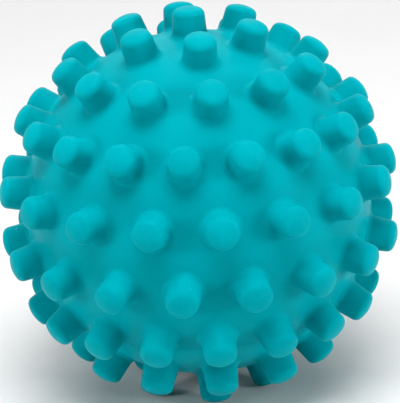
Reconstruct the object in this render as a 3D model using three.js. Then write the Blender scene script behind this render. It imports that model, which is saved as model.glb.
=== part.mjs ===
// Massage ball: a hollow, one-piece moulded vinyl skin covered in blunt studs, with an air valve at its
// lower pole. The valve is a soft seat bonded into the skin and a plug that pulls straight out of it.
//
// Units are millimetres and +Z is up. The ball's polar axis is the Z axis. The origin is on the table,
// straight below the ball's centre, where the ball stands on the six studs round its valve.

import * as THREE from 'three';
import { ConvexHull } from 'three/addons/math/ConvexHull.js';

// ---- driving dimensions ------------------------------------------------------------------------------

const overallDiameter = 100;                 // over the stud tips
const wall = 3;                              // thickness of the skin between the studs

const studHeight = 7.2;                      // from the core's surface to the flat tip
const studBaseRadius = 4.5;
const studShoulderRadius = 3.9;              // where the tapered side meets the rounded edge
const studTipRadius = 2.9;                   // of the flat tip inside the rounded edge
const studEdgeHeight = 0.9;                  // height of the rounded edge
const studSides = 12;

const valveSides = 24;
const holeRadius = 6.5;                      // hole through the skin at the lower pole
const bondGap = 0.3;                         // bond line between the valve seat and the skin

const seatFlangeRadius = 9.5;                // flange against the inside of the skin
const seatFlangeThickness = 1;
const seatTubeRadius = 4.2;                  // tube that reaches into the ball
const seatLength = 11;                       // from the outer face to the tube's inner end
const recessRadius = 5.2;                    // recess in the outer face, for the plug's head
const recessDepth = 1.2;
const boreRadius = 2.1;

const plugHeadRadius = 4.8;
const plugHeadEdge = 0.5;                    // bevel round the outer face of the head
const plugHeadThickness = 1.8;
const plugSeatGap = 0.3;                     // between the head and the floor of its recess
const plugStemRadius = 1.95;
const plugTipRadius = 1.2;
const plugTipLength = 1.4;                   // tapered lead-in at the end of the stem
const plugLength = 11.5;                     // from the outer face of the head to the end of the stem

const innerRows = 16;                        // rows of facets from the hole to the top of the inside

// The studs stand in rings 20 degrees of latitude apart. The lower half carries the same rings as the
// upper half, turned by a little under half a turn, because the two halves of the mould aren't quite in line.
const lowerHalfTurn = 178;                   // degrees
const studRings = [
  { latitude: 10, count: 17, firstLongitude: 180 },
  { latitude: 30, count: 17, firstLongitude: 0 },
  { latitude: 50, count: 12, firstLongitude: 0 },
  { latitude: 70, count: 6, firstLongitude: 30 },
];

// ---- derived dimensions ------------------------------------------------------------------------------

const tipDistance = overallDiameter / 2;
const coreRadius = tipDistance - studHeight;
const innerRadius = coreRadius - wall;
const footLatitude = THREE.MathUtils.degToRad(Math.max(...studRings.map((ring) => ring.latitude)));
// The ball stands on the lowest edge of each flat tip in its lowest ring.
const centreHeight = tipDistance * Math.sin(footLatitude) + studTipRadius * Math.cos(footLatitude);

// ---- materials ---------------------------------------------------------------------------------------

const vinyl = new THREE.MeshStandardMaterial({ color: 0x00a9b5, roughness: 0.5, metalness: 0 });
const seatVinyl = new THREE.MeshStandardMaterial({ color: 0x078f9c, roughness: 0.6, metalness: 0 });
const plugVinyl = new THREE.MeshStandardMaterial({ color: 0x0b7f8d, roughness: 0.45, metalness: 0 });

// ---- rings and triangles -----------------------------------------------------------------------------

// A point at the given distance out along an axis and the given radius round it. Angle 0 lies on the side
// of the axis that faces the lower pole, and angles run anticlockwise as seen from outside the ball.
function pointRound(axis, distance, radius, angle) {
  const level = Math.abs(axis.z) > 0.999 ? new THREE.Vector3(0, 1, 0) : new THREE.Vector3(0, 0, 1);
  const across = new THREE.Vector3().crossVectors(level, axis).normalize();
  const down = new THREE.Vector3().crossVectors(across, axis);
  return axis.clone().multiplyScalar(distance)
    .addScaledVector(down, radius * Math.cos(angle))
    .addScaledVector(across, radius * Math.sin(angle));
}

function ringRound(axis, distance, radius, sides) {
  const step = (2 * Math.PI) / sides;
  return Array.from({ length: sides }, (_, i) => pointRound(axis, distance, radius, i * step));
}

// A ring on a sphere about the ball's centre.
function ringOnSphere(axis, sphereRadius, radius, sides) {
  return ringRound(axis, Math.sqrt(sphereRadius ** 2 - radius ** 2), radius, sides);
}

function band(first, second) {
  return first.flatMap((point, i) => {
    const next = (i + 1) % first.length;
    return [point, first[next], second[next], point, second[next], second[i]];
  });
}

function cap(ring) {
  return ring.slice(2).flatMap((point, i) => [ring[0], ring[i + 1], point]);
}

function wallsThrough(rings) {
  return [...rings.slice(1).flatMap((ring, i) => band(rings[i], ring)), ...cap(rings.at(-1))];
}

// ---- skin --------------------------------------------------------------------------------------------

function directionAt(latitude, longitude) {
  const up = THREE.MathUtils.degToRad(latitude);
  const round = THREE.MathUtils.degToRad(longitude);
  return new THREE.Vector3(Math.cos(up) * Math.cos(round), Math.cos(up) * Math.sin(round), Math.sin(up));
}

function studAxes() {
  const axes = [directionAt(90, 0)];         // at the lower pole the valve takes the stud's place
  for (const { latitude, count, firstLongitude } of studRings) {
    for (let i = 0; i < count; i += 1) {
      const longitude = firstLongitude + (360 * i) / count;
      axes.push(directionAt(latitude, longitude), directionAt(-latitude, longitude + lowerHalfTurn));
    }
  }
  return axes;
}

// The rings of one stud, from its base on the core out to its flat tip.
function studProfile(axis) {
  return [
    ringOnSphere(axis, coreRadius, studBaseRadius, studSides),
    ringRound(axis, tipDistance - studEdgeHeight, studShoulderRadius, studSides),
    ringRound(axis, tipDistance, studTipRadius, studSides),
  ];
}

// The rings of the valve hole and the inside, from the outer edge of the hole to the top of the inside.
function insideProfile() {
  const down = new THREE.Vector3(0, 0, -1);
  const holeAngle = Math.asin(holeRadius / innerRadius);
  const rings = [ringOnSphere(down, coreRadius, holeRadius, valveSides)];
  for (let row = 0; row < innerRows; row += 1) {
    const angle = holeAngle + ((Math.PI - holeAngle) * row) / innerRows;
    rings.push(ringRound(down, innerRadius * Math.cos(angle), innerRadius * Math.sin(angle), valveSides));
  }
  return rings;
}

// The core between the studs is the convex hull of all their base rings and the edge of the valve hole.
// The hull's flat polygon inside each ring is left out, because a stud or the hole stands there.
function coreBetween(rings) {
  const ringOf = new Map(rings.flatMap((ring, i) => ring.map((point) => [point, i])));
  const hull = new ConvexHull().setFromPoints([...ringOf.keys()]);
  return hull.faces.flatMap((face) => {
    const corners = [face.edge.prev, face.edge, face.edge.next].map((edge) => edge.head().point);
    const insideOneRing = new Set(corners.map((point) => ringOf.get(point))).size === 1;
    return insideOneRing ? [] : corners;
  });
}

function skinGeometry() {
  const profiles = [insideProfile(), ...studAxes().map(studProfile)];
  const corners = [...coreBetween(profiles.map(([edge]) => edge)), ...profiles.flatMap(wallsThrough)];
  const geometry = new THREE.BufferGeometry().setFromPoints(corners);
  geometry.computeVertexNormals();
  return geometry;
}

// ---- valve -------------------------------------------------------------------------------------------

// A solid of revolution about the Z axis. The profile holds [radius, height] pairs.
function turned(profile) {
  const points = profile.map(([radius, height]) => new THREE.Vector2(radius, height));
  return new THREE.LatheGeometry(points, valveSides).rotateX(Math.PI / 2);
}

const faceHeight = -coreRadius;              // outer face of the seat, level with the core's lowest point
const recessFloor = faceHeight + recessDepth;

function seatGeometry() {
  const bodyRadius = holeRadius - bondGap;
  const skinEdge = -Math.sqrt(innerRadius ** 2 - holeRadius ** 2);
  const flangeRoot = skinEdge + bondGap;
  const flangeRise = (seatFlangeRadius - holeRadius) * 0.3;
  const flangeTop = flangeRoot + flangeRise + seatFlangeThickness;
  return turned([
    [recessRadius, faceHeight],
    [bodyRadius, faceHeight],
    [bodyRadius, flangeRoot],
    [seatFlangeRadius, flangeRoot + flangeRise],
    [seatFlangeRadius, flangeTop],
    [seatTubeRadius, flangeTop],
    [seatTubeRadius, faceHeight + seatLength],
    [boreRadius, faceHeight + seatLength],
    [boreRadius, recessFloor],
    [recessRadius, recessFloor],
    [recessRadius, faceHeight],
  ]);
}

function plugGeometry() {
  const headInner = recessFloor - plugSeatGap;
  const headOuter = headInner - plugHeadThickness;
  const stemEnd = headOuter + plugLength;
  return turned([
    [0, headOuter],
    [plugHeadRadius - plugHeadEdge, headOuter],
    [plugHeadRadius, headOuter + plugHeadEdge],
    [plugHeadRadius, headInner],
    [plugStemRadius, headInner],
    [plugStemRadius, stemEnd - plugTipLength],
    [plugTipRadius, stemEnd],
    [0, stemEnd],
  ]);
}

// ---- assembly ----------------------------------------------------------------------------------------

function piece(name, geometry, material) {
  const mesh = new THREE.Mesh(geometry, material);
  mesh.name = name;
  return mesh;
}

const ball = new THREE.Group();
ball.position.z = centreHeight;
ball.add(
  piece('skin', skinGeometry(), vinyl),
  piece('valve_seat', seatGeometry(), seatVinyl),
  piece('valve_plug', plugGeometry(), plugVinyl),
);

const massageBall = new THREE.Group();
massageBall.add(ball);

export default massageBall;
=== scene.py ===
# Massage ball: the looks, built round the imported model. A fine skin with all its studs, the valve's seat
# and its plug replace the model's plain solids. Shapes are worked out in millimetres about the ball's
# centre, and become metres in the model's frame when a piece is made.
import math

import bpy
from mathutils import Matrix, Vector
from mathutils.geometry import delaunay_2d_cdt


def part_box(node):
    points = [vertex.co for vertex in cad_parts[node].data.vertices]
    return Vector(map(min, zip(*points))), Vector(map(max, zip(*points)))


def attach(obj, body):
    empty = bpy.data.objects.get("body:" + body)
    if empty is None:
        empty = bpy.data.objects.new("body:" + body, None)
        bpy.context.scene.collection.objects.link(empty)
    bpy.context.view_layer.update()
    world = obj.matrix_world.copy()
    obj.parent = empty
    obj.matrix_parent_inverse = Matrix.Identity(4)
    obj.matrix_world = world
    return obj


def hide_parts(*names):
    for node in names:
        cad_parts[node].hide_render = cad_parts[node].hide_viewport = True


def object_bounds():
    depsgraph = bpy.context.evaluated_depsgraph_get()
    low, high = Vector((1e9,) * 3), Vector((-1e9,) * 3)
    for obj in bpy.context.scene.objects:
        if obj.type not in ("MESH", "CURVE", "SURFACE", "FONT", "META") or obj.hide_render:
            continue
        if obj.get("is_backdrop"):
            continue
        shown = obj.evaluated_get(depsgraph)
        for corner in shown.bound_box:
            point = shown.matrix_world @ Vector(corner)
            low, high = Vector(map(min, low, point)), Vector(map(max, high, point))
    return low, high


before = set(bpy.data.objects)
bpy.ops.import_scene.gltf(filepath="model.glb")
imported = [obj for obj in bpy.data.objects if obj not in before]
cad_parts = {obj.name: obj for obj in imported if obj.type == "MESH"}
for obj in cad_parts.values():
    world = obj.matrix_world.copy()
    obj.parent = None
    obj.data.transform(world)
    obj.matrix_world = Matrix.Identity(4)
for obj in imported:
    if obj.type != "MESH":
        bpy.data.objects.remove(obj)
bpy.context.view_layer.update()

# ---- driving dimensions, in millimetres --------------------------------------------------------------

MM = 0.001

TIP_DISTANCE = 50.0          # from the ball's centre to the stud tips
STUD_HEIGHT = 7.2
WALL = 3.0
CORE_RADIUS = TIP_DISTANCE - STUD_HEIGHT
INNER_RADIUS = CORE_RADIUS - WALL
CENTRE = Vector((0.0, 0.0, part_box("skin")[1].z / MM - TIP_DISTANCE))

STUD_FOOT_RADIUS = 5.6       # where the fillet round the stud's base runs out on the core
STUD_BASE_RADIUS = 4.3
STUD_SHOULDER_RADIUS = 3.85  # of the tapered side, a little short of the tip
STUD_SHOULDER_DISTANCE = TIP_DISTANCE - 0.9
STUD_EDGE_ROUNDING = 1.8
STUD_CROWN = 1.0             # how far the domed tip falls away from its middle to the shoulder's radius
STUD_CROWN_RADIUS = 2.8      # where the dome's slope meets the line of the side
STUD_FILLET_STEPS = 6
STUD_EDGE_STEPS = 7
STUD_CROWN_STEPS = 4
STUD_SIDES = 36

STUD_RINGS = (               # latitude, number of studs and longitude of the first stud, in degrees
    (10, 17, 180),
    (30, 17, 0),
    (50, 12, 0),
    (70, 6, 30),
)
LOWER_HALF_TURN = 178        # degrees between the upper half's rings and the lower half's

CORE_SPACING = 2.0           # between the points of the core's surface
LID_POINT_GAP = 0.1          # kept between the points along the lid's step and the studs' feet

LID_LATITUDE = -36.6         # degrees; the lid of the mould left a step round the lower pole
LID_STEP = 0.3               # the lid's side is lower by this much
LID_STEP_WIDTH = 0.6
LID_SLOPE_SPAN = 0.02        # over which the slope of the step is taken
LID_BEAD = 0.12              # thin flash along the edge of the step
LID_BEAD_WIDTH = 0.2
LID_BEAD_OFFSET = 0.25       # of the flash from the middle of the step, towards the upper half
LID_ROWS = 13
LID_COLUMNS = 300

HOLE_RADIUS = 6.5
HOLE_LIP = 0.8               # width of the rounded lip round the hole
HOLE_LIP_ROUNDING = 0.5
INSIDE_ROWS = 40
VALVE_SIDES = 96
BOND_GAP = 0.1
SEAT_FLANGE_RADIUS = 9.5
SEAT_FLANGE_SLOPE = 0.3      # rise of the flange over its width, along the inside of the skin
SEAT_FLANGE_THICKNESS = 1.0
SEAT_TUBE_RADIUS = 4.2
SEAT_LENGTH = 11.0
SEAT_ROUNDING = 0.2
RECESS_RADIUS = 5.2
RECESS_DEPTH = 1.2
BORE_RADIUS = 2.1
SEAT_FACE = -CORE_RADIUS
RECESS_FLOOR = SEAT_FACE + RECESS_DEPTH

PLUG_LENGTH = 11.5           # from the outer face of its head to the end of its stem
PLUG_SEAT_GAP = 0.3          # between its head and the floor of the recess
PLUG_HEAD_RADIUS = 4.8
PLUG_HEAD_THICKNESS = 1.8
PLUG_HEAD_INNER = RECESS_FLOOR - PLUG_SEAT_GAP
PLUG_HEAD_OUTER = PLUG_HEAD_INNER - PLUG_HEAD_THICKNESS
PLUG_RIM_WIDTH = 0.9
PLUG_RIM_SLOPE = 0.3         # width of the sloping side of the dish
PLUG_DISH_DEPTH = 0.5
GATE_MARK_RADIUS = 0.7       # of the shallow pit in the dish, where the vinyl was let into the mould
GATE_MARK_DEPTH = 0.12
GATE_MARK_SLOPE = 0.15       # width of the pit's sloping side
PLUG_STEM_RADIUS = 1.95
PLUG_TIP_RADIUS = 1.2
PLUG_TIP_LENGTH = 1.4
PLUG_END = PLUG_HEAD_OUTER + PLUG_LENGTH
NAIL_NOTCH_DEPTH = 0.7
NAIL_NOTCH_WIDTH = 1.6
HEAD_BACK_DEPTH = 0.3        # of the back of the plug's head, which the notch leaves alone


# ---- outlines ----------------------------------------------------------------------------------------
# An outline is a list of (radius, height, normal along the radius, normal along the height), and the
# material lies on the left of the way it runs.

def between(start, end):
    return (end[0] - start[0], end[1] - start[1])


def unit(way):
    length = math.hypot(*way)
    return (way[0] / length, way[1] / length)


def cross(first, second):
    return first[0] * second[1] - first[1] * second[0]


def meeting_point(start, start_way, end, end_way):
    """Where the line through start along start_way meets the line through end along end_way."""
    along = cross(between(start, end), end_way) / cross(start_way, end_way)
    return (start[0] + along * start_way[0], start[1] + along * start_way[1])


def turn_at(before, corner, after):
    """The signed angle by which the path turns at a corner: positive to the left."""
    into = between(before, corner)
    out = between(corner, after)
    return math.atan2(cross(into, out), into[0] * out[0] + into[1] * out[1])


def rounded_corner(before, corner, after, rounding, steps=5):
    """The arc that rounds off a corner, tangent to both of its sides."""
    into = unit(between(before, corner))
    turn = turn_at(before, corner, after)
    tangent = rounding * math.tan(abs(turn) / 2)
    side = math.copysign(rounding, turn)
    start = (corner[0] - into[0] * tangent, corner[1] - into[1] * tangent)
    centre = (start[0] - into[1] * side, start[1] + into[0] * side)
    heading = math.atan2(into[1], into[0])
    arc = []
    for step in range(steps + 1):
        angle = heading + turn * step / steps
        normal = (math.sin(angle), -math.cos(angle))
        arc.append((centre[0] + normal[0] * side, centre[1] + normal[1] * side, *normal))
    return arc


def plain_point(point, way):
    """An outline point on a straight run that goes along way."""
    along = unit(way)
    return (point[0], point[1], along[1], -along[0])


def rounded_path(corners):
    """The outline through (radius, height, rounding) corners. Its two ends stay sharp."""
    places = [(radius, height) for radius, height, _ in corners]
    path = [plain_point(places[0], between(places[0], places[1]))]
    for before, corner, after in zip(places, corners[1:], places[2:]):
        path += rounded_corner(before, corner[:2], after, corner[2])
    path.append(plain_point(places[-1], between(places[-2], places[-1])))
    return path


# ---- surfaces ----------------------------------------------------------------------------------------

class Surface:
    """A mesh in the making: points about the ball's centre, their normals, and faces."""

    def __init__(self):
        self.points = []
        self.normals = []
        self.faces = []

    def add_point(self, point, normal):
        self.points.append(point)
        self.normals.append(normal.normalized())
        return len(self.points) - 1

    def ring(self, axis, spot, sides):
        """A ring round an axis at one outline point, or a single point where the radius is 0."""
        radius, height, normal_radius, normal_height = spot
        if radius == 0:
            return [self.add_point(axis * height, axis * normal_height)]
        level = Vector((0, 1, 0)) if abs(axis.z) > 0.999 else Vector((0, 0, 1))
        across = level.cross(axis).normalized()
        down = across.cross(axis)
        ring = []
        for side in range(sides):
            angle = math.tau * side / sides
            out = down * math.cos(angle) + across * math.sin(angle)
            normal = axis * normal_height + out * normal_radius
            ring.append(self.add_point(axis * height + out * radius, normal))
        return ring

    def band(self, first, second):
        sides = max(len(first), len(second))
        for side in range(sides):
            after = (side + 1) % sides
            if len(first) == 1:
                self.faces.append((first[0], second[after], second[side]))
            elif len(second) == 1:
                self.faces.append((first[side], first[after], second[0]))
            else:
                self.faces.append((first[side], first[after], second[after], second[side]))

    def sweep(self, axis, outline, sides):
        """Sweeps an outline round an axis and returns its rings."""
        rings = [self.ring(axis, spot, sides) for spot in outline]
        for first, second in zip(rings, rings[1:]):
            self.band(first, second)
        return rings

    def piece(self, name, material):
        mesh = bpy.data.meshes.new(name)
        mesh.from_pydata([(point + CENTRE) * MM for point in self.points], [], self.faces)
        mesh.shade_smooth()
        mesh.normals_split_custom_set_from_vertices(self.normals)
        mesh.materials.append(material)
        piece = bpy.data.objects.new(name, mesh)
        bpy.context.scene.collection.objects.link(piece)
        return piece


# ---- skin --------------------------------------------------------------------------------------------

def direction(latitude, longitude):
    up = math.radians(latitude)
    round_ = math.radians(longitude)
    return Vector((math.cos(up) * math.cos(round_), math.cos(up) * math.sin(round_), math.sin(up)))


def stud_axes():
    axes = [direction(90, 0)]
    for latitude, count, first in STUD_RINGS:
        for number in range(count):
            longitude = first + 360 * number / count
            axes.append(direction(latitude, longitude))
            axes.append(direction(-latitude, longitude + LOWER_HALF_TURN))
    return axes


def on_sphere(sphere_radius, radius):
    return (radius, math.sqrt(sphere_radius**2 - radius**2))


def towards_axis(spot):
    """The way along the sphere from a spot on it towards the axis."""
    return (-spot[1], spot[0])


def crown_height(radius):
    return TIP_DISTANCE - STUD_CROWN * (radius / STUD_SHOULDER_RADIUS) ** 2


def crown_slope(radius):
    return -2 * STUD_CROWN * radius / STUD_SHOULDER_RADIUS**2


def stud_outline():
    """From the run-out of the fillet, up the side, over the rounded edge, to the middle of the tip."""
    foot = on_sphere(CORE_RADIUS, STUD_FOOT_RADIUS)
    base = on_sphere(CORE_RADIUS, STUD_BASE_RADIUS)
    side_way = between(base, (STUD_SHOULDER_RADIUS, STUD_SHOULDER_DISTANCE))
    crown = (STUD_CROWN_RADIUS, crown_height(STUD_CROWN_RADIUS))
    crown_way = (-1, -crown_slope(STUD_CROWN_RADIUS))
    fillet_corner = meeting_point(foot, towards_axis(foot), base, side_way)
    edge_corner = meeting_point(base, side_way, crown, crown_way)
    run_out = math.hypot(*between(foot, fillet_corner))
    fillet = run_out / math.tan(abs(turn_at(foot, fillet_corner, edge_corner)) / 2)
    edge = rounded_corner(fillet_corner, edge_corner, crown, STUD_EDGE_ROUNDING, STUD_EDGE_STEPS)
    outline = rounded_corner(foot, fillet_corner, edge_corner, fillet, STUD_FILLET_STEPS) + edge
    edge_end = edge[-1][0]
    for step in reversed(range(STUD_CROWN_STEPS)):
        radius = edge_end * step / STUD_CROWN_STEPS
        outline.append(plain_point((radius, crown_height(radius)), (-1, -crown_slope(radius))))
    return outline


def lid_rise(distance):
    """Height of the surface, this far north of the mould lid's edge, above the plain core."""
    share = min(max(0.5 + distance / LID_STEP_WIDTH, 0), 1)
    step = LID_STEP * (1 - share * share * (3 - 2 * share))
    bead = LID_BEAD * math.exp(-(((distance - LID_BEAD_OFFSET) / LID_BEAD_WIDTH) ** 2))
    return bead - step


def north_of_lid(way):
    return CORE_RADIUS * (math.asin(way.z) - math.radians(LID_LATITUDE))


def mark_lid(surface):
    """Lowers the skin on the lid's side of the step, less and less up the studs and through the wall."""
    nudge = LID_SLOPE_SPAN / 2
    for number, (point, normal) in enumerate(zip(surface.points, surface.normals)):
        way = point.normalized()
        height = point.length - CORE_RADIUS
        fade = 1 - height / STUD_HEIGHT if height > 0 else 1 + height / WALL
        flat = math.hypot(way.x, way.y)
        if fade > 0 and flat > 0:
            distance = north_of_lid(way)
            slope = (lid_rise(distance + nudge) - lid_rise(distance - nudge)) / LID_SLOPE_SPAN
            north = Vector((-way.z * way.x / flat, -way.z * way.y / flat, flat))
            surface.points[number] = point + way * (lid_rise(distance) * fade)
            surface.normals[number] = (normal - north * (slope * fade * way.dot(normal))).normalized()


def clear_of(holes, way, distance):
    """Whether a direction keeps this far from every hole (axis, radius)."""
    return all(way.dot(axis) < math.cos((radius + distance) / CORE_RADIUS) for axis, radius in holes)


def lid_ways(holes):
    """Rows of close points along the step that the mould's lid left."""
    for row in range(LID_ROWS):
        distance = LID_STEP_WIDTH * (2 * row / (LID_ROWS - 1) - 1)
        latitude = LID_LATITUDE + math.degrees(distance / CORE_RADIUS)
        for column in range(LID_COLUMNS):
            way = direction(latitude, 360 * column / LID_COLUMNS)
            if clear_of(holes, way, LID_POINT_GAP):
                yield way


def even_ways(holes):
    """Evenly spread directions, clear of the holes and of the lid's step."""
    count = round(4 * math.pi * (CORE_RADIUS / CORE_SPACING) ** 2)
    golden_angle = math.pi * (3 - math.sqrt(5))
    for number in range(count):
        height = 1 - (2 * number + 1) / count
        flat = math.sqrt(1 - height**2)
        angle = number * golden_angle
        way = Vector((flat * math.cos(angle), flat * math.sin(angle), height))
        clear_of_lid = abs(north_of_lid(way)) > LID_STEP_WIDTH + CORE_SPACING / 2
        if clear_of_lid and clear_of(holes, way, CORE_SPACING / 2):
            yield way


def flattened(point):
    """Stereographic projection from the lower pole, which keeps circles round and triangles even."""
    way = point.normalized()
    return Vector((way.x, way.y)) / (1 + way.z)


def fill_core(surface, rims, holes):
    """Covers the core between the rims of the studs and the valve hole with even triangles."""
    rim_of = {point: number for number, rim in enumerate(rims) for point in rim}
    loose = [surface.add_point(way * CORE_RADIUS, way) for way in (*lid_ways(holes), *even_ways(holes))]
    used = [*rim_of, *loose]
    place = {point: order for order, point in enumerate(used)}
    edges = [(place[a], place[b]) for rim in rims for a, b in zip(rim, rim[1:] + rim[:1])]
    flat = [flattened(surface.points[point]) for point in used]
    _, _, triangles, sources, _, _ = delaunay_2d_cdt(flat, edges, [], 0, 1e-9)
    for triangle in triangles:
        corners = [used[sources[corner][0]] for corner in triangle]
        a, b, c = (flat[place[corner]] for corner in corners)
        if cross(b - a, c - a) < 0:
            corners.reverse()
        inside = {rim_of.get(corner) for corner in corners}
        if len(inside) > 1 or None in inside:
            surface.faces.append(tuple(corners))


def hole_outline():
    """From the core, over the rounded rim and through the wall, then round the whole inside."""
    rim = on_sphere(CORE_RADIUS, HOLE_RADIUS + HOLE_LIP)
    edge = meeting_point(rim, towards_axis(rim), (HOLE_RADIUS, 0), (0, 1))
    inner = on_sphere(INNER_RADIUS, HOLE_RADIUS)
    outline = [plain_point(rim, towards_axis(rim))]
    outline += rounded_corner(rim, edge, inner, HOLE_LIP_ROUNDING)
    hole_angle = math.asin(HOLE_RADIUS / INNER_RADIUS)
    for row in range(INSIDE_ROWS + 1):
        angle = hole_angle + (math.pi - hole_angle) * row / INSIDE_ROWS
        radius = INNER_RADIUS * math.sin(angle) if row < INSIDE_ROWS else 0
        outline.append((radius, INNER_RADIUS * math.cos(angle), -math.sin(angle), -math.cos(angle)))
    return outline


def make_skin(material):
    surface = Surface()
    down = Vector((0, 0, -1))
    rims = [surface.sweep(down, hole_outline(), VALVE_SIDES)[0]]
    holes = [(down, HOLE_RADIUS + HOLE_LIP)]
    outline = stud_outline()
    for axis in stud_axes():
        rims.append(surface.sweep(axis, outline, STUD_SIDES)[0])
        holes.append((axis, STUD_FOOT_RADIUS))
    fill_core(surface, rims, holes)
    mark_lid(surface)
    skin = surface.piece("studded_skin", material)
    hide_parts("skin")
    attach(skin, "ball")
    return skin


# ---- valve -------------------------------------------------------------------------------------------

def make_seat(material):
    """The bush in the hole: a face with a recess, a flange inside the ball, and a tube round the bore."""
    body = HOLE_RADIUS - BOND_GAP
    flange_root = -on_sphere(INNER_RADIUS, HOLE_RADIUS)[1] + BOND_GAP
    flange_rise = (SEAT_FLANGE_RADIUS - HOLE_RADIUS) * SEAT_FLANGE_SLOPE
    flange_top = flange_root + flange_rise + SEAT_FLANGE_THICKNESS
    face_middle = (RECESS_RADIUS + body) / 2
    corners = [
        (face_middle, SEAT_FACE, 0),
        (body, SEAT_FACE, 0.4),
        (body, flange_root, 0.1),
        (SEAT_FLANGE_RADIUS, flange_root + flange_rise, SEAT_ROUNDING),
        (SEAT_FLANGE_RADIUS, flange_top, SEAT_ROUNDING),
        (SEAT_TUBE_RADIUS, flange_top, 0.8),
        (SEAT_TUBE_RADIUS, SEAT_FACE + SEAT_LENGTH, 0.5),
        (BORE_RADIUS, SEAT_FACE + SEAT_LENGTH, SEAT_ROUNDING),
        (BORE_RADIUS, RECESS_FLOOR, SEAT_ROUNDING),
        (RECESS_RADIUS, RECESS_FLOOR, SEAT_ROUNDING),
        (RECESS_RADIUS, SEAT_FACE, 0.3),
        (face_middle, SEAT_FACE, 0),
    ]
    surface = Surface()
    rings = surface.sweep(Vector((0, 0, 1)), rounded_path(corners)[:-1], VALVE_SIDES)
    surface.band(rings[-1], rings[0])
    seat = surface.piece("seat_bush", material)
    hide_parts("valve_seat")
    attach(seat, "ball")
    return seat


def cut_nail_notch(surface):
    """Scoops a place for a fingernail out of the edge of the plug's head."""
    notch = Vector((0, -PLUG_HEAD_RADIUS, PLUG_HEAD_OUTER))
    for number, point in enumerate(surface.points):
        away = (point - notch).length / NAIL_NOTCH_WIDTH
        rise = NAIL_NOTCH_DEPTH * math.exp(-(away**2))
        if point.z < PLUG_HEAD_INNER - HEAD_BACK_DEPTH:
            surface.points[number] = point + Vector((0, 0, rise))


def make_plug(material):
    """The plug: a head with a dished face, raised rim and nail notch, and a stem with a tapered end."""
    dish_radius = PLUG_HEAD_RADIUS - PLUG_RIM_WIDTH
    dish_floor = PLUG_HEAD_OUTER + PLUG_DISH_DEPTH
    pit_floor = dish_floor - GATE_MARK_DEPTH
    corners = [
        (0, pit_floor, 0),
        (GATE_MARK_RADIUS, pit_floor, 0.1),
        (GATE_MARK_RADIUS + GATE_MARK_SLOPE, dish_floor, 0.1),
        (dish_radius - PLUG_RIM_SLOPE, dish_floor, 0.3),
        (dish_radius, PLUG_HEAD_OUTER, 0.15),
        (PLUG_HEAD_RADIUS, PLUG_HEAD_OUTER, 0.45),
        (PLUG_HEAD_RADIUS, PLUG_HEAD_INNER, 0.25),
        (PLUG_STEM_RADIUS, PLUG_HEAD_INNER, 0.1),
        (PLUG_STEM_RADIUS, PLUG_END - PLUG_TIP_LENGTH, 0.6),
        (PLUG_TIP_RADIUS, PLUG_END, 0.4),
        (0, PLUG_END, 0),
    ]
    surface = Surface()
    surface.sweep(Vector((0, 0, 1)), rounded_path(corners), VALVE_SIDES)
    cut_nail_notch(surface)
    plug = surface.piece("plug", material)
    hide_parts("valve_plug")
    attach(plug, "plug")
    return plug


# ---- materials ---------------------------------------------------------------------------------------

class Shader:
    """A new material and short ways to add and link its nodes."""

    def __init__(self, name):
        self.material = bpy.data.materials.new(name)
        self.material.use_nodes = True
        self.tree = self.material.node_tree
        self.surface = self.tree.nodes["Principled BSDF"]
        self.position = self.node("ShaderNodeTexCoord").outputs["Object"]

    def node(self, kind, **settings):
        made = self.tree.nodes.new(kind)
        for key, value in settings.items():
            setattr(made, key, value)
        return made

    def link(self, output, target):
        self.tree.links.new(output, target)

    def noise(self, size, detail=3.0, roughness=0.5):
        """Cloudy noise with blobs of the given size in millimetres."""
        noise = self.node("ShaderNodeTexNoise")
        noise.inputs["Scale"].default_value = 1 / (size * MM)
        noise.inputs["Detail"].default_value = detail
        noise.inputs["Roughness"].default_value = roughness
        self.link(self.position, noise.inputs["Vector"])
        return noise.outputs["Fac"]

    def specks(self, spacing, size):
        """Round specks of the given size in millimetres, 1 at their middle and 0 between them."""
        cells = self.node("ShaderNodeTexVoronoi")
        cells.inputs["Scale"].default_value = 1 / (spacing * MM)
        self.link(self.position, cells.inputs["Vector"])
        return self.ranged(cells.outputs["Distance"], 0, size / spacing, 1, 0)

    def ranged(self, value, low, high, to_low, to_high):
        mapped = self.node("ShaderNodeMapRange")
        for name, number in zip(("From Min", "From Max", "To Min", "To Max"), (low, high, to_low, to_high)):
            mapped.inputs[name].default_value = number
        self.link(value, mapped.inputs["Value"])
        return mapped.outputs["Result"]

    def times(self, first, second):
        product = self.node("ShaderNodeMath", operation="MULTIPLY")
        self.link(first, product.inputs[0])
        self.link(second, product.inputs[1])
        return product.outputs[0]

    def blended(self, factor, first, second):
        """A colour between two: each is a colour or another node's output."""
        mix = self.node("ShaderNodeMix", data_type="RGBA")
        self.link(factor, mix.inputs["Factor"])
        for socket, colour in ((mix.inputs[6], first), (mix.inputs[7], second)):
            if isinstance(colour, tuple):
                socket.default_value = (*colour, 1)
            else:
                self.link(colour, socket)
        return mix.outputs[2]

    def bumped(self, height, distance, strength=1.0, under=None):
        bump = self.node("ShaderNodeBump")
        bump.inputs["Strength"].default_value = strength
        bump.inputs["Distance"].default_value = distance * MM
        self.link(height, bump.inputs["Height"])
        if under:
            self.link(under, bump.inputs["Normal"])
        return bump.outputs["Normal"]

    def from_centre(self):
        """Distance from the ball's centre, in metres."""
        distance = self.node("ShaderNodeVectorMath", operation="DISTANCE")
        distance.inputs[1].default_value = CENTRE * MM
        self.link(self.position, distance.inputs[0])
        return distance.outputs["Value"]


PALER_TIPS_FROM = TIP_DISTANCE - 1.2   # paler tips, partly handling wear and partly painted light, from this far out, in millimetres, to the stud tips
DUST_COLOUR = (0.1, 0.46, 0.5)


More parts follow.
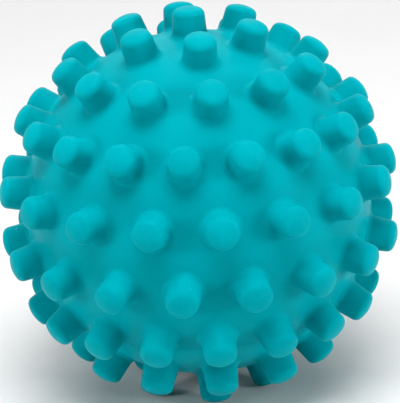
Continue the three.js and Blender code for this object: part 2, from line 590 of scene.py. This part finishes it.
def soft_vinyl(name, colour, deep_colour, paler_tip_colour, roughness):
    """Satin moulded vinyl: clouded colour, fine grain, specks of dust, and paler stud tips, partly wear and
    partly painted light for the tips catching more light than the shaded hollows between the studs.
    """
    shader = Shader(name)
    surface = shader.surface.inputs
    clouds = shader.ranged(shader.noise(18, detail=2), 0.35, 0.65, 0, 1)
    body = shader.blended(clouds, deep_colour, colour)
    # Paler stud tips in patches: partly handling wear, partly painted light standing in for the tips
    # catching more light than the shaded hollows between the studs.
    tip_wear_and_light = shader.ranged(shader.from_centre(), PALER_TIPS_FROM * MM, TIP_DISTANCE * MM, 0, 0.5)
    tip_patches = shader.ranged(shader.noise(1.6, detail=6, roughness=0.7), 0.45, 0.75, 0, 1)
    body_with_paler_tips = shader.blended(shader.times(tip_wear_and_light, tip_patches), body, paler_tip_colour)
    dust = shader.specks(9, 0.3)
    shader.link(shader.blended(dust, body_with_paler_tips, DUST_COLOUR), surface["Base Color"])
    uneven = shader.ranged(shader.noise(5, detail=4), 0.3, 0.7, roughness - 0.05, roughness + 0.06)
    shader.link(uneven, surface["Roughness"])
    swell = shader.bumped(shader.noise(6, detail=1), 0.08)
    grain = shader.bumped(shader.noise(0.45, detail=2), 0.006, under=swell)
    shader.link(shader.bumped(dust, 0.06, under=grain), surface["Normal"])
    surface["IOR"].default_value = 1.5
    surface["Specular IOR Level"].default_value = 0.02
    surface["Specular Tint"].default_value = (0.0, 0.9, 1.0, 1)
    surface["Subsurface Weight"].default_value = 0.5
    surface["Subsurface Radius"].default_value = (0.2, 1.0, 1.0)
    surface["Subsurface Scale"].default_value = 0.6 * MM
    return shader.material


def floor_material():
    """Matt, pale studio board with the faintest unevenness."""
    shader = Shader("studio_board")
    tone = shader.ranged(shader.noise(60, detail=3), 0.3, 0.7, 0, 1)
    board = shader.blended(tone, (0.68, 0.68, 0.68), (0.7, 0.7, 0.7))
    shader.link(board, shader.surface.inputs["Base Color"])
    shader.surface.inputs["Roughness"].default_value = 0.8
    return shader.material


# ---- studio ------------------------------------------------------------------------------------------

COVE_RADIUS = 2800           # the floor and wall are in millimetres
COVE_ROUNDING = 1500
COVE_HEIGHT = 2600
COVE_SIDES = 96

CAMERA_AZIMUTH = 51.8        # degrees
CAMERA_ELEVATION = 19.2
CAMERA_ROLL = -3.1
CAMERA_DISTANCE = 0.59       # metres
CAMERA_LENS = 213.7          # millimetres
AIM_RIGHT = 0.33 * MM        # how far to the right of the ball's centre the camera looks

SOFTBOXES = (                # name, degrees round from the camera, elevation, metres away, width, watts
    ("front_top_softbox", 0, 70, 0.7, 0.5, 5.3),
    ("overhead_softbox", 0, 90, 2.0, 3.0, 26),
    ("left_softbox", -60, 16, 0.8, 0.3, 2.9),
    ("right_softbox", 64, 12, 0.8, 0.3, 3.6),
    ("back_softbox", 180, 38, 0.9, 0.8, 2.0),
)
AMBIENT = 0.03               # strength of the even light from all round


def make_floor(material):
    """The studio's floor, which curves up into a wall all round. It touches the lowest studs."""
    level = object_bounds()[0].z / MM - CENTRE.z
    corners = [
        (COVE_RADIUS, level + COVE_HEIGHT, 0),
        (COVE_RADIUS, level, COVE_ROUNDING),
        (0, level, 0),
    ]
    surface = Surface()
    surface.sweep(Vector((0, 0, 1)), rounded_path(corners), COVE_SIDES)
    surface.piece("floor", material)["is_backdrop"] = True


def way_to(azimuth, elevation):
    """From the ball towards a camera or light. A camera at azimuth 0 looks along +Y."""
    return direction(elevation, azimuth - 90)


def look_from(thing, place, target, roll=0.0):
    facing = (target - place).to_track_quat("-Z", "Y").to_matrix()
    thing.location = place
    thing.rotation_euler = (facing @ Matrix.Rotation(math.radians(roll), 3, "Z")).to_euler()


def make_camera():
    data = bpy.data.cameras.new("camera")
    data.sensor_fit = "HORIZONTAL"
    data.lens = CAMERA_LENS
    camera = bpy.data.objects.new("camera", data)
    bpy.context.scene.collection.objects.link(camera)
    out = way_to(CAMERA_AZIMUTH, CAMERA_ELEVATION)
    right = Vector((0, 0, 1)).cross(out).normalized()
    target = CENTRE * MM + right * AIM_RIGHT
    look_from(camera, target + out * CAMERA_DISTANCE, target, CAMERA_ROLL)
    bpy.context.scene.camera = camera


def add_softbox(name, turn, elevation, distance, width, watts):
    data = bpy.data.lights.new(name, "AREA")
    data.shape = "DISK"
    data.size = width
    data.energy = watts
    light = bpy.data.objects.new(name, data)
    bpy.context.scene.collection.objects.link(light)
    target = CENTRE * MM
    look_from(light, target + way_to(CAMERA_AZIMUTH + turn, elevation) * distance, target)


def make_lights():
    for softbox in SOFTBOXES:
        add_softbox(*softbox)
    world = bpy.data.worlds.new("studio")
    world.use_nodes = True
    background = world.node_tree.nodes["Background"]
    background.inputs["Color"].default_value = (1, 1, 1, 1)
    background.inputs["Strength"].default_value = AMBIENT
    bpy.context.scene.world = world
    bpy.context.scene.view_settings.view_transform = "Standard"


# ---- the ball in its studio --------------------------------------------------------------------------

# The third colour of each vinyl is for the paler stud tips: partly wear, partly painted light.
make_skin(soft_vinyl("skin_vinyl", (0.0, 0.285, 0.331), (0.0, 0.262, 0.304), (0.002, 0.33, 0.38), 0.36))
make_seat(soft_vinyl("seat_vinyl", (0.0, 0.22, 0.26), (0.0, 0.20, 0.23), (0.002, 0.25, 0.29), 0.5))
make_plug(soft_vinyl("plug_vinyl", (0.0, 0.16, 0.19), (0.0, 0.14, 0.17), (0.002, 0.19, 0.22), 0.4))
make_floor(floor_material())
make_camera()
make_lights()
